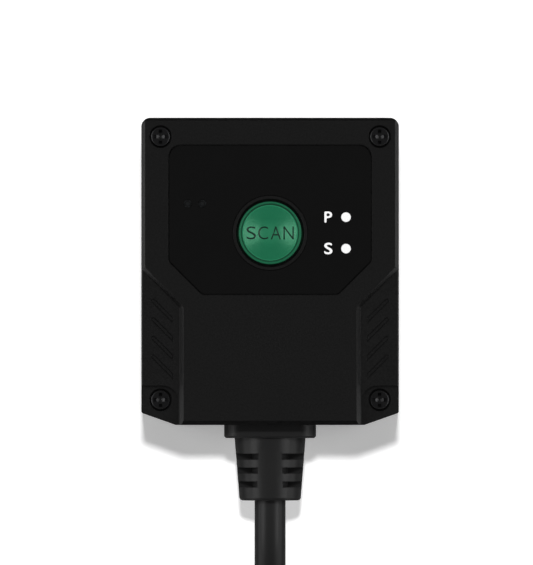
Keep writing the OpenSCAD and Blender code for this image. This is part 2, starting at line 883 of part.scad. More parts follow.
// The lip that keeps the two shells in line, left out at the posts
module case_lip() {
    difference() {
        translate([0, 0, case_h - over])
            linear_extrude(lip_h + over) lip_plan(wall - lip_t, inner_front - lip_gap);
        translate([0, 0, case_h - 2 * over]) linear_extrude(lip_h + 3 * over) cavity_plan();
        corner_posts(case_h, case_h + lip_h + over, lip_gap);
    }
}

module bottom_case() {
    color(shell_black)
    difference() {
        union() {
            difference() {
                linear_extrude(case_h) body_plan(0);
                difference() {
                    translate([0, 0, wall]) linear_extrude(case_h) cavity_plan();
                    case_inside();
                }
            }
            case_lip();
        }
        both_sides() {
            translate([half_w, 0, 0]) bevel_bar(body_d + over, base_bevel);
        }
        for (y = [front_y, rear_y]) {
            translate([0, y, 0]) rotate(90) bevel_bar(body_w + over, base_bevel);
        }
        for (p = insert_places) {
            translate([p[0], p[1], -over]) cylinder(h = insert_top + over, r = insert_r + insert_gap);
        }
        both_sides() {
            for (y = [screw_front_y, screw_rear_y]) {
                translate([screw_x, y, wall + screw_floor]) cylinder(h = case_h, r = screw_r + thread_gap);
            }
        }
        at_lugs() translate([0, 0, engine_z + lug_t - small_l - pilot_spare])
            cylinder(h = small_l, r = small_r + thread_gap);
        window_cut();
        neck_cut();
    }
}

// A pan-head screw, seated at z = 0, with a cross recess that is steep at its ends and runs to a point
module screw(head_r, head_h, r, length) {
    arm = [2 * head_r, 2 * head_r * cross_half_share, 2 * head_h];
    middle_r = head_r * cross_middle_share;
    reach = head_r * cross_reach_share;
    difference() {
        union() {
            rotate_extrude()
                polygon(concat(
                    [[0, 0], [head_r, 0]],
                    [for (i = [0 : head_edge_steps]) let (a = 90 * i / head_edge_steps)
                        [head_r - head_edge_w * (1 - cos(a)), head_h - head_edge_h * (1 - sin(a))]],
                    [[0, head_h]]
                ));
            translate([0, 0, -length]) cylinder(h = length + head_h / 4, r = r);
        }
        intersection() {
            union() {
                for (a = [0, 90]) {
                    translate([0, 0, head_h]) rotate(a) cube(arm, center = true);
                }
            }
            rotate_extrude()
                polygon([
                    [0, head_h * (1 - cross_sink_share)], [middle_r, head_h * (1 - cross_end_share)],
                    [reach, head_h], [reach, head_h + over], [0, head_h + over]
                ]);
        }
    }
}

module cover_screws() {
    color("#202021")
    at_cover_screws() screw(screw_head_r, screw_head_h, screw_r, screw_l);
}

module mount_inserts() {
    groove_w = 0.6;
    groove_depth = 0.3;
    color("#b08d4a")
    for (p = insert_places) {
        translate(p)
            rotate_extrude()
                polygon([
                    [insert_bore_r, 0], [insert_r, 0], [insert_r, (insert_l - groove_w) / 2],
                    [insert_r - groove_depth, (insert_l - groove_w) / 2],
                    [insert_r - groove_depth, (insert_l + groove_w) / 2],
                    [insert_r, (insert_l + groove_w) / 2], [insert_r, insert_l], [insert_bore_r, insert_l]
                ]);
    }
}

module front_window() {
    color("#2a1416")
    translate([0, window_front, axis_z]) rearward(window_t) rounded_rect(window_w, window_h, window_r);
}

module window_seal() {
    color("#0e0e0e")
    translate([0, seal_front, axis_z])
        rearward(seal_t)
            difference() {
                rounded_rect(window_w, window_h, window_r);
                rounded_rect(opening_w, opening_h, window_r);
            }
}

module panel_film() {
    color(film_black)
    translate([0, 0, panel_z])
        difference() {
            linear_extrude(panel_t) rounded_outline(panel_corners(0));
            translate([0, button_y, -over]) cylinder(h = panel_t + 2 * over, r = collar_r + panel_gap / 2);
            at_lights() translate([0, 0, -over]) cylinder(h = panel_t + 2 * over, r = light_r + light_gap);
            at_sound_ports() translate([0, 0, -over]) cylinder(h = panel_t + 2 * over, r = sound_mouth_r);
        }
}

// The button's cap as one turned profile: post, hollow, flange, skirt, rim, groove and domed face
module scan_button() {
    face_r = button_r - rim_w - rim_groove_w;
    face_z = rim_z - button_dome;
    groove_z = face_z - rim_groove_depth;
    dome_steps = 12;
    color("#2a7350")
    translate([0, button_y, 0])
        rotate_extrude()
            polygon(concat(
                [
                    [0, flange_z], [plunger_r, flange_z], [plunger_r, face_z - cap_wall],
                    [button_r - cap_wall, face_z - cap_wall], [button_r - cap_wall, flange_z],
                    [button_r + flange_w, flange_z], [button_r + flange_w, flange_z + flange_t],
                    [button_r, flange_z + flange_t], [button_r, rim_z - rim_round],
                    [button_r - rim_round, rim_z], [button_r - rim_w + rim_round, rim_z],
                    [button_r - rim_w, rim_z - rim_round], [button_r - rim_w, groove_z], [face_r, groove_z]
                ],
                [for (i = [0 : dome_steps]) let (t = 1 - i / dome_steps)
                    [face_r * t, face_z + button_dome * (1 - t * t)]]
            ));
}

module switch_plunger() {
    color("#2b2b2d")
    translate([0, button_y, plunger_z]) cylinder(h = flange_z - plunger_z, r = plunger_r);
}

module tact_switch() {
    leg_l = 1.2;
    leg_w = 0.7;
    leg_t = 0.3;
    corner_r = 0.6;
    color("#3a3a3c")
    translate([0, button_y, board_z])
        difference() {
            union() {
                linear_extrude(switch_h) rounded_rect(switch_w, switch_w, corner_r);
                both_sides() {
                    for (s = [-1, 1]) {
                        translate([switch_w / 2 - leg_t, s * switch_w / 3 - leg_w / 2, 0])
                            cube([leg_l, leg_w, leg_t]);
                    }
                }
            }
            translate([0, 0, switch_h - plunger_well])
                cylinder(h = plunger_well + over, r = plunger_r + plunger_gap);
        }
}

// A clear pipe from an indicator diode up to the surface of the film
module light_pipe() {
    rotate_extrude()
        polygon([
            [0, board_z + diode_h + pipe_gap], [pipe_r, board_z + diode_h + pipe_gap],
            [pipe_r, roof_z - pipe_collar_t], [pipe_collar_r, roof_z - pipe_collar_t],
            [pipe_collar_r, roof_z], [light_r, roof_z], [light_r, panel_z + panel_t], [0, panel_z + panel_t]
        ]);
}

module power_light_pipe() {
    color("#f2f2f2")
    translate([light_x, light_y, 0]) light_pipe();
}

module status_light_pipe() {
    color("#f2f2f2")
    translate([light_x, light_y - light_pitch, 0]) light_pipe();
}

module indicator_diodes() {
    diode_l = 1.6;
    diode_d = 1;
    color("#e8e6d8")
    at_lights() translate([-diode_l / 2, -diode_d / 2, board_z]) cube([diode_l, diode_d, diode_h]);
}

// The porous vents that close the sound ports, on the floors of their mouths
module sound_vents() {
    color("#1d1d1e")
    at_sound_ports()
        translate([0, 0, panel_z - sound_mouth_depth])
            cylinder(h = sound_mouth_depth + panel_t - vent_sink, r = sound_mouth_r - vent_gap);
}

module sounder() {
    hole_r = 0.8;
    color("#202022")
    translate([-sound_x, sound_y, board_z])
        difference() {
            cylinder(h = sounder_h, r = sounder_r);
            translate([0, 0, sounder_h - over]) cylinder(h = 2 * over, r = hole_r);
        }
}

module main_board() {
    color(board_green)
    translate([0, 0, board_z - board_t])
        difference() {
            translate([-board_x, board_rear, 0]) cube([2 * board_x, board_front - board_rear, board_t]);
            at_board_posts() translate([0, 0, -over])
                cylinder(h = board_t + 2 * over, r = small_r + screw_gap);
        }
}

module board_screws() {
    color("#8d8f92")
    at_board_posts() translate([0, 0, board_z - board_t]) rotate([180, 0, 0])
        screw(small_head_r, small_head_h, small_r, small_l);
}

module decoder_chip() {
    color("#19191b")
    translate([-decoder_w * decoder_share, chip_y - decoder_w / 2, board_z])
        cube([decoder_w, decoder_w, decoder_h]);
}

module memory_chip() {
    memory_d = 10;
    gap = 2;
    color("#19191b")
    translate([decoder_w * (1 - decoder_share) + gap, chip_y - memory_d / 2, board_z])
        cube([memory_w, memory_d, memory_h]);
}

module capacitors() {
    pitch = 3;
    row_x = -((capacitor_count - 1) * pitch + capacitor_size[0]) / 2;
    color("#a98f6b")
    for (i = [0 : capacitor_count - 1]) {
        translate([row_x + i * pitch, capacitor_y, board_z]) cube(capacitor_size);
    }
}

module board_socket() {
    low = lead_z - lead_plug_h / 2 - socket_wall;
    color("#e9e4d6")
    translate([-lead_plug_w / 2 - socket_wall, socket_y, low])
        cube([lead_plug_w + 2 * socket_wall, socket_d, board_z - board_t - low]);
}

module lead_plug() {
    color("#efeade")
    translate([-lead_plug_w / 2, lead_plug_rear, lead_z - lead_plug_h / 2])
        cube([lead_plug_w, lead_plug_l, lead_plug_h]);
}

module leads() {
    color("#b53a2e")
    for (i = [0 : lead_count - 1]) {
        translate([(i - (lead_count - 1) / 2) * lead_pitch, lead_plug_rear, lead_z])
            rear_cylinder(lead_plug_rear - stub_end, lead_r);
    }
}

module engine_chassis() {
    edge_r = 1;
    color("#232325")
    difference() {
        union() {
            translate([0, engine_front, axis_z])
                rearward(engine_d) rounded_rect(engine_w, engine_h, edge_r);
            both_sides() {
                translate([lug_x, lug_y, engine_z]) cylinder(h = lug_t, r = lug_r);
                translate([engine_w / 2 - edge_r, lug_y - lug_r, engine_z])
                    cube([lug_x - engine_w / 2 + edge_r, 2 * lug_r, lug_t]);
            }
        }
        translate([0, engine_front + over, axis_z])
            rear_cylinder(engine_d + 2 * over, barrel_r + barrel_gap);
        translate([-sensor_room / 2, engine_rear - over, axis_z - sensor_room / 2])
            cube([sensor_room, sensor_t + sensor_gap + over, sensor_room]);
        both_sides() {
            translate([lamp_x, engine_front + over, axis_z])
                rearward(lamp_depth + over) rounded_rect(lamp_w, lamp_h, edge_r);
        }
        at_lugs() translate([0, 0, engine_z - over])
            cylinder(h = lug_t + 2 * over, r = small_r + screw_gap);
    }
}

module engine_screws() {
    color("#8d8f92")
    at_lugs() translate([0, 0, engine_z + lug_t]) screw(small_head_r, small_head_h, small_r, small_l);
}

module sensor_board() {
    margin = 0.5;
    color(board_green)
    translate([0, engine_rear, axis_z])
        rearward(sensor_board_t) square([engine_w - 2 * margin, engine_h - 2 * margin], center = true);
}

module image_sensor() {
    height_share = 0.75;
    color("#3b4350")
    translate([0, engine_rear + sensor_t, axis_z])
        rearward(sensor_t) square([sensor_w, sensor_w * height_share], center = true);
}

// A turned barrel with a seat for the lens, a stop behind it and a clear bore to the rear
module lens_barrel() {
    seat_r = lens_r + lens_seat_gap;
    seat = lens_sink + lens_t;
    stop_w = 0.7;
    stop_t = 0.6;
    stop_r = lens_r - stop_w;
    color("#151516")
    translate([0, barrel_front, axis_z]) rotate([90, 0, 0])
        rotate_extrude()
            polygon([
                [seat_r, 0], [barrel_r, 0], [barrel_r, barrel_l], [lens_r, barrel_l],
                [lens_r, seat + stop_t], [stop_r, seat + stop_t], [stop_r, seat], [seat_r, seat]
            ]);
}

// A lens with a domed front, which sits on the barrel's stop
module lens() {
    edge_t = lens_t / 2;
    dome_steps = 8;
    color("#5f6f8c")
    translate([0, barrel_front - lens_sink - lens_t, axis_z]) rotate([-90, 0, 0])
        rotate_extrude()
            polygon(concat(
                [[0, 0], [lens_r, 0]],
                [for (i = [0 : dome_steps]) let (t = 1 - i / dome_steps)
                    [lens_r * t, edge_t + (lens_t - edge_t) * (1 - t * t)]]
            ));
}

module lamp() {
    translate([0, engine_front - lamp_depth + lamp_diode_t, axis_z])
        rearward(lamp_diode_t) square([diode_w, diode_w], center = true);
}

module lamps() {
    color("#f0e9c0")
    for (p = [[-lamp_x, diode_z], [-lamp_x, -diode_z], [lamp_x, diode_z]]) {
        translate([p[0], 0, p[1]]) lamp();
    }
}

module aiming_lamp() {
    dome_r = 1.1;
    sunk = 0.2;
    color("#9fd6a8")
    translate([lamp_x, 0, -diode_z]) {
        lamp();
        translate([0, engine_front - lamp_depth + lamp_diode_t, axis_z])
            intersection() {
                sphere(r = dome_r);
                translate([-dome_r, -sunk, -dome_r]) cube(2 * dome_r);
            }
    }
}

// A flat ribbon from the sensor board back and up to the main board
module engine_ribbon() {
    start_y = engine_rear - sensor_board_t;
    bend_y = start_y - ribbon_run;
    bend_z = ribbon_z + ribbon_t + ribbon_bend;
    outer = ribbon_bend + ribbon_t;
    color("#b9772c")
    rotate([90, 0, 90]) linear_extrude(ribbon_w, center = true) {
        translate([bend_y, ribbon_z]) square([ribbon_run, ribbon_t]);
        translate([bend_y, bend_z])
            intersection() {
                difference() {
                    circle(r = outer);
                    circle(r = ribbon_bend);
                }
                translate([-outer, -outer]) square(outer);
            }
        translate([bend_y - outer, bend_z]) square([ribbon_t, board_z - board_t - bend_z]);
    }
}

// Slots across the boot, which leave a core and a rib along each side
module boot_slot_cuts() {
    reach = 2 * boot_r1;
    for (i = [0 : boot_slots - 1]) {
        translate([0, boot_y - boot_slot_start - i * boot_pitch + boot_slot_w / 2, case_h])
            rearward(boot_slot_w)
                difference() {
                    square([2 * reach, 2 * reach], center = true);
                    square([2 * reach, 2 * boot_rib], center = true);
                    intersection() {
                        translate([core_w - core_r, 0]) circle(r = core_r);
                        translate([core_r - core_w, 0]) circle(r = core_r);
                    }
                }
    }
}

module strain_relief() {
    root = relief_t / 2;
    round_share = 0.3;
    slope = (boot_r1 - boot_r2) / boot_l;
    end_w = relief_w - 2 * relief_edge;
    end_h = relief_h - 2 * relief_edge;
    color(pvc_black)
    difference() {
        union() {
            translate([0, rear_y, case_h])
                hull() {
                    rearward(relief_t - relief_edge) rounded_rect(relief_w, relief_h, relief_r);
                    rearward(relief_t) rounded_rect(end_w, end_h, relief_r - relief_edge);
                }
            translate([0, boot_y, case_h]) rotate([90, 0, 0])
                rotate_extrude()
                    polygon([
                        [0, -root], [boot_r1, -root], [boot_r1, 0],
                        [boot_r2 + slope * boot_round, boot_l - boot_round],
                        [boot_r2 - boot_round * round_share, boot_l - boot_round * round_share],
                        [boot_r2 - boot_round, boot_l], [0, boot_l]
                    ]);
            translate([0, inner_rear + over, case_h]) rear_cylinder(wall + over + root, neck_r);
            translate([0, inner_rear + anchor_t, case_h]) rear_cylinder(anchor_t, anchor_r);
            translate([0, stub_end, case_h]) rear_cylinder(stub_l + anchor_t / 2, stub_r);
        }
        boot_slot_cuts();
    }
}

// A round tube swept along points, with flat ends square to its first and last steps
function step_at(points, i) =
    let (last = len(points) - 1)
    unit(i == 0 ? points[1] - points[0]
        : i == last ? points[last] - points[last - 1]
        : unit(points[i] - points[i - 1]) + unit(points[i + 1] - points[i]));
function ring_at(points, i, r) =
    let (
        along = step_at(points, i),
        side = unit(cross(along, [0, 0, 1])),
        up = cross(side, along)
    )
    [for (k = [0 : cord_sides - 1]) let (a = 360 * (k + 0.5) / cord_sides)
        points[i] + r * (cos(a) * side + sin(a) * up)];

module swept_tube(points, r) {
    n = len(points);
    m = cord_sides;
    polyhedron(
        points = [for (i = [0 : n - 1]) each ring_at(points, i, r)],
        faces = concat(
            [[for (k = [0 : m - 1]) k]],
            [for (i = [0 : n - 2], k = [0 : m - 1])
                [i * m + k, (i + 1) * m + k, (i + 1) * m + (k + 1) % m, i * m + (k + 1) % m]],
            [[for (k = [m - 1 : -1 : 0]) (n - 1) * m + k]]
        )
    );
}

module cable_run() {
    color(pvc_black)
    translate([0, boot_end, 0]) swept_tube(run_points, cable_r);
}

module cable_tail() {
    color(pvc_black)
    translate([coil_mid[0], coil_mid[1], 0]) swept_tube(tail_points, cable_r);
}

// The wound length as one ring, open where the cable runs in below and climbs out above
module cable_coil() {
    room = cable_r + channel_gap;
    color(pvc_black)
    difference() {
        translate([coil_mid[0], coil_mid[1], 0])
            rotate_extrude()
                translate([(coil_in + coil_out) / 2, (tie_t + coil_top) / 2])
                    rounded_rect(coil_out - coil_in, coil_top - tie_t, cable_r);
        translate([run_end[0], boot_end + run_end[1], -over])
            rotate(-run_turn) translate([-coil_out, 0, 0])
                cube([coil_out + room, coil_out, tie_t + cable_d + channel_gap + over]);
        translate([coil_mid[0], coil_mid[1], coil_top - cable_d - channel_gap])
            rotate(90) rotate_extrude(angle = 90)
                translate([tail_start[1] - room, 0]) square([2 * room, cable_d + over]);
    }
}

module cable_tie() {
    w = coil_out - coil_in + 2 * tie_gap;
    h = coil_top - tie_t;
    color("#2e2e30")
    translate([coil_mid[0] - tie_w / 2, coil_mid[1] - (coil_in + coil_out) / 2, tie_t + h / 2])
        rotate(90) rearward(tie_w)
            difference() {
                rounded_rect(w + 2 * tie_t, h + 2 * tie_t, cable_r + tie_t);
                rounded_rect(w, h, cable_r);
            }
}

module plug_grip() {
    rib_count = 5;
    rib_pitch = 2.2;
    rib_w = 1;
    rib_depth = 0.5;
    rib_margin = 4;
    rib_start = plug_boot_l + rib_margin;
    color(pvc_black)
    translate([plug_x, plug_y, plug_z])
        difference() {
            union() {
                rotate([90, 0, 0]) cylinder(h = plug_boot_l + over, r1 = plug_boot_r2, r2 = plug_boot_r1);
                translate([0, -plug_boot_l, 0])
                    rearward(grip_plug_l) rounded_rect(grip_plug_w, grip_plug_h, grip_plug_r);
            }
            both_sides() {
                for (i = [0 : rib_count - 1]) {
                    translate([grip_plug_w / 2 - rib_depth, -rib_start - i * rib_pitch, -grip_plug_h])
                        cube([over + rib_depth, rib_w, 2 * grip_plug_h]);
                }
            }
        }
}

module plug_shell() {
    latch = 2;
    latch_x = 2.8;
    latch_back = 7;
    color("#c9cbce")
    translate([plug_x, shell_y, plug_z])
        difference() {
            rearward(shell_l)
                difference() {
                    rounded_rect(shell_w, shell_h, shell_r);
                    rounded_rect(shell_w - 2 * shell_t, shell_h - 2 * shell_t, shell_r - shell_t);
                }
            both_sides() {
                translate([latch_x - latch / 2, -shell_l + latch_back, -shell_h])
                    cube([latch, latch, 2 * shell_h]);
            }
        }
}

module plug_tongue() {
    w = shell_w - 2 * shell_r;
    color("#e8e8ea")
    translate([plug_x, shell_y, plug_z - shell_h / 2 + shell_t])
        rearward(shell_l - tongue_back) translate([-w / 2, 0]) square([w, tongue_t]);
}

module plug_contacts() {
    color("#c8a24a")
    for (i = [0 : contact_count - 1]) {
        translate([
            plug_x + (i - (contact_count - 1) / 2) * contact_pitch - contact_w / 2,
            shell_y - shell_l + 2 * tongue_back, plug_z - shell_h / 2 + shell_t + tongue_t
        ])
            cube([contact_w, contact_l, contact_t]);
    }
}

top_cover();
bottom_case();
cover_screws();
mount_inserts();
front_window();
window_seal();
panel_film();
scan_button();
switch_plunger();
tact_switch();
power_light_pipe();
status_light_pipe();
indicator_diodes();
sound_vents();
sounder();
main_board();
board_screws();
decoder_chip();
memory_chip();
capacitors();
board_socket();
lead_plug();
leads();
engine_chassis();
engine_screws();
sensor_board();
image_sensor();
lens_barrel();
lens();
lamps();
aiming_lamp();
engine_ribbon();
strain_relief();
cable_run();
cable_coil();
cable_tie();
cable_tail();
plug_grip();
plug_shell();
plug_tongue();
plug_contacts();
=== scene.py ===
import math

import bmesh
import bpy
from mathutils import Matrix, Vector


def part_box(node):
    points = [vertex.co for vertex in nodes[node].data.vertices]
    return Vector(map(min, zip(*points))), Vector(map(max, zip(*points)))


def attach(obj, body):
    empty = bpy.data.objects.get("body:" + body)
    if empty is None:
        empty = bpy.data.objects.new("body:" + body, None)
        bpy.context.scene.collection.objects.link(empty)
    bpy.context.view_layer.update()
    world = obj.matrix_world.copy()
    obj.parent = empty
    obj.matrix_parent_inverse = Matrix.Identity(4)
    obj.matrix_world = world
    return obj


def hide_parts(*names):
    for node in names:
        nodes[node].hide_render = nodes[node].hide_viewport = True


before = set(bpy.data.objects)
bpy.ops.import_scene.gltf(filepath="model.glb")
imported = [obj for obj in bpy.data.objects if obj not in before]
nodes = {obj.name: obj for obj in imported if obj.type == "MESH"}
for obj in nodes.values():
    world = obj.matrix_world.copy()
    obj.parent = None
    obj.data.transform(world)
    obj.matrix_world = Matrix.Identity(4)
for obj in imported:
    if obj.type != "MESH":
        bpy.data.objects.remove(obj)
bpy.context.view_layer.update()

MM = 0.001
scene = bpy.context.scene
scene.view_settings.view_transform = "Standard"


def link(name, data):
    """A new object at the origin, shown in the scene."""
    made = bpy.data.objects.new(name, data)
    scene.collection.objects.link(made)
    return made


# Camera: straight above the button face, far off with a long lens. Lengths are in millimetres.

TOP_FACE = 24.0
VIEW_CENTRE = (-0.576, -1.79)
VIEW_HEIGHT = 3539.2
LENS = 1400.0
SENSOR = 36.0

camera = link("camera", bpy.data.cameras.new("camera"))
camera.data.lens = LENS
camera.data.sensor_width = SENSOR
camera.data.clip_start = 0.05
camera.location = (VIEW_CENTRE[0] * MM, VIEW_CENTRE[1] * MM, (TOP_FACE + VIEW_HEIGHT) * MM)
scene.camera = camera


# Cable: down from the boot, along the table, wound in three layers and up to its plug, in millimetres

CABLE_D = 5.0
BOOT_END = -37.0
# The cable down to the table and round to the coil, measured from the boot's end
RUN = [
    (0, 0, 12), (0, -3, 12), (0, -6, 11.7), (0, -9, 11), (0, -12, 10), (0, -15, 8.8), (0, -19, 7.1),
    (-0.4, -23.2, 5.4), (-1.4, -27.2, 4.1), (-3.2, -31, 3.4), (-5.6, -34.4, 3.3), (-7.9, -36.5, 3.3),
]
TURN_OUT = 32.5
TURN_IN = 18.0
TAIL_R = 19.6
# Heights of the three layers
LOW, MIDDLE, HIGH = 3.3, 8.3, 13.3
# Each stretch of the winding: turns, radius at its start and end, height at its start and end
WINDING = [
    (2.9, TURN_OUT, TURN_IN, LOW, LOW), (0.25, TURN_IN, TURN_IN, LOW, MIDDLE),
    (2.9, TURN_IN, TURN_OUT, MIDDLE, MIDDLE), (0.25, TURN_OUT, TURN_OUT, MIDDLE, HIGH),
]
# The last stretch ends where the tail starts, after two whole turns and a part
TAIL_ANGLE = math.pi / 2
LAST_WHOLE_TURNS = 2
TURN_POINTS = 16
# The cable from the innermost turn up over the coil to the plug, measured from the coil's middle
TAIL = [
    (0, TAIL_R, HIGH), (-1.5, TAIL_R, HIGH), (-5.1, 18.9, 13.8), (-9.8, 17, 15), (-13.9, 13.9, 16.5),
    (-17, 9.8, 18.1), (-18.9, 5.1, 19.3), (-TAIL_R, 0, 19.8), (-TAIL_R, -2, 19.8),
]


def ease(t):
    """Rises smoothly from 0 to 1."""
    return t * t * (3 - 2 * t)


def cable_route():
    """The middle of the cable, from the boot to the plug."""
    route = [(x, BOOT_END + y, z) for x, y, z in RUN]
    before, last = route[-2:]
    angle = math.pi - math.atan2(before[0] - last[0], before[1] - last[1])
    mid = (last[0] - TURN_OUT * math.cos(angle), last[1] - TURN_OUT * math.sin(angle))
    route.pop()
    wound = angle + 2 * math.pi * sum(stretch[0] for stretch in WINDING)
    last_turns = (TAIL_ANGLE - wound) / (2 * math.pi) % 1 + LAST_WHOLE_TURNS
    for turns, r0, r1, z0, z1 in WINDING + [(last_turns, TURN_OUT, TAIL_R, HIGH, HIGH)]:
        steps = round(turns * TURN_POINTS)
        for i in range(steps):
            t = i / steps
            r = r0 + (r1 - r0) * t
            a = angle + 2 * math.pi * turns * t
            route.append((mid[0] + r * math.cos(a), mid[1] + r * math.sin(a), z0 + (z1 - z0) * ease(t)))
        angle += 2 * math.pi * turns
    return route + [(mid[0] + x, mid[1] + y, z) for x, y, z in TAIL]


def make_cable():
    """One smooth curve with a round section."""
    curve = bpy.data.curves.new("cable", "CURVE")
    curve.dimensions = "3D"
    curve.bevel_depth = 1.0
    curve.bevel_resolution = 6
    curve.resolution_u = 5
    curve.use_fill_caps = True
    route = cable_route()
    spline = curve.splines.new("BEZIER")
    spline.bezier_points.add(len(route) - 1)
    for point, spot in zip(spline.bezier_points, route):
        point.co = Vector(spot) * MM
        point.radius = CABLE_D / 2 * MM
        point.handle_left_type = point.handle_right_type = "AUTO"
    return link("cable", curve)


cable = make_cable()
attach(cable, "reader")
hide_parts("cable_run", "cable_coil", "cable_tail")


# Sizes of the button and the film that finishes and legends follow, in millimetres

BUTTON_MID = (0.0, 6.2)
FACE_R = 4.45
FACE_Z = 24.05
DOME = 0.25
GROOVE_W = 0.25
# Heights over which the painted shade on the button's skirt fades out, going up
SKIRT_SHADE_HEIGHTS = (23.6, 24.0)
FILM_TOP = 23.9
FILM_FLOOR = 23.65


# Finishes

class Signal:
    """The value of a socket. Arithmetic on it adds Math nodes to its finish."""

    def __init__(self, finish, socket):
        self.finish, self.socket = finish, socket

    def __add__(self, other):
        return self.finish.maths("ADD", self, other)

    __radd__ = __add__

    def __sub__(self, other):
        return self.finish.maths("SUBTRACT", self, other)

    def __rsub__(self, other):
        return self.finish.maths("SUBTRACT", other, self)

    def __mul__(self, other):
        return self.finish.maths("MULTIPLY", self, other)

    __rmul__ = __mul__


class Finish:
    """A material, built node by node."""

    def __init__(self, name):
        self.material = bpy.data.materials.new(name)
        self.material.use_nodes = True
        self.tree = self.material.node_tree
        self.tree.nodes.clear()
        self.place = self.node("ShaderNodeTexCoord", out="Object")

    def node(self, kind, settings=None, inputs=None, out=0):
        """Adds a node with its settings first, then the values or links of its sockets. Gives an output."""
        made = self.tree.nodes.new(kind)
        for key, value in (settings or {}).items():
            setattr(made, key, value)
        for key, value in (inputs or {}).items():
            if isinstance(value, Signal):
                self.tree.links.new(value.socket, made.inputs[key])
            else:
                made.inputs[key].default_value = value
        return Signal(self, made.outputs[out]) if made.outputs else None

    def maths(self, operation, a, b=0.0):
        return self.node("ShaderNodeMath", {"operation": operation}, {0: a, 1: b})

    def vector(self, operation, a, b=(0.0, 0.0, 0.0), out=0):
        return self.node("ShaderNodeVectorMath", {"operation": operation}, {0: a, 1: b}, out)

    def noise(self, size_mm, detail, stretch=None):
        """Soft random cloud with lumps of the given size, from 0 to 1."""
        place = self.place
        if stretch:
            place = self.node("ShaderNodeMapping", inputs={"Vector": place, "Scale": stretch})
        return self.node("ShaderNodeTexNoise", inputs={
            "Vector": place, "Scale": 1 / (size_mm * MM), "Detail": detail, "Roughness": 0.55})

    def ramp(self, value, low, high, start=0.0, end=1.0):
        """Takes low to start and high to end, and holds there."""
        return self.node("ShaderNodeMapRange", {"interpolation_type": "SMOOTHSTEP"}, {
            "Value": value, "From Min": low, "From Max": high, "To Min": start, "To Max": end})

    def mix(self, amount, first, second):
        """Goes from the first colour to the second."""
        return self.node("ShaderNodeMix", {"data_type": "RGBA"}, {0: amount, 6: first, 7: second}, out=2)

    def part(self, vector, axis):
        """One part of a vector: X, Y or Z."""
        return self.node("ShaderNodeSeparateXYZ", inputs={"Vector": vector}, out=axis)

    def facing(self):
        """The direction that the surface faces."""
        return self.node("ShaderNodeNewGeometry", out="Normal")

    def floor_at(self, height_mm):
        """1 on a level face at the given height, and 0 elsewhere."""
        off = self.maths("ABSOLUTE", self.part(self.place, "Z") - height_mm * MM)
        level = self.ramp(self.part(self.facing(), "Z"), 0.95, 0.99)
        return level * self.ramp(off, 0.02 * MM, 0.05 * MM, 1.0, 0.0)

    def bump(self, height, depth_mm, strength, edge_mm=0.0):
        """The normal over a relief, with the piece's edges eased a little."""
        inputs = {"Height": height, "Distance": depth_mm * MM, "Strength": strength}
        if edge_mm:
            inputs["Normal"] = self.node("ShaderNodeBevel", {"samples": 6}, {"Radius": edge_mm * MM})
        return self.node("ShaderNodeBump", inputs=inputs)

    def done(self, **inputs):
        """Ends in a Principled shader with these inputs, and gives the material."""
        named = {key.replace("_", " "): value for key, value in inputs.items()}
        shader = self.node("ShaderNodeBsdfPrincipled", inputs=named)
        self.node("ShaderNodeOutputMaterial", inputs={"Surface": shader})
        return self.material


BLACK = (0.0, 0.0, 0.0, 1.0)
WHITE = (1.0, 1.0, 1.0, 1.0)


def shade(colour, factor):
    """A colour made lighter or darker, with its alpha."""
    return tuple(c * factor for c in colour) + (1.0,)


def moulded(name, colour, roughness, grain_mm=0.16, grain_depth=0.012, variation=0.12, edge_mm=0.12,
            speckled=False, glued_floor=None, matt_sides=None, **more):
    """Moulded plastic: a fine even grain, faint clouds in the colour and eased edges.

    A speckled one has paler grains. A floor with glue on it, at the height glued_floor, is matt.
    Sides turn matt as their upward part falls through the two values of matt_sides.
    """
    f = Finish(name)
    grain = f.noise(grain_mm, 3.0)
    clouds = f.noise(6.0, 3.0)
    dust = f.ramp(f.noise(0.5, 4.0), 0.62, 0.8)
    tint = f.mix(clouds, shade(colour, 1 - variation), shade(colour, 1 + variation))
    if speckled:
        tint = f.mix(f.ramp(grain, 0.38, 0.62), tint, shade(colour, 3.0))
    polish = roughness - 0.06 + 0.12 * clouds + 0.05 * grain
    if glued_floor:
        polish = polish + (1 - roughness) * f.floor_at(glued_floor)
    if matt_sides:
        polish = polish + f.ramp(f.part(f.facing(), "Z"), *matt_sides, 1 - roughness, 0.0)
    return f.done(
        Base_Color=f.mix(dust * 0.25, tint, shade(colour, 1.6)), Roughness=polish,
        Normal=f.bump(grain, grain_depth, 0.5, edge_mm), **more)


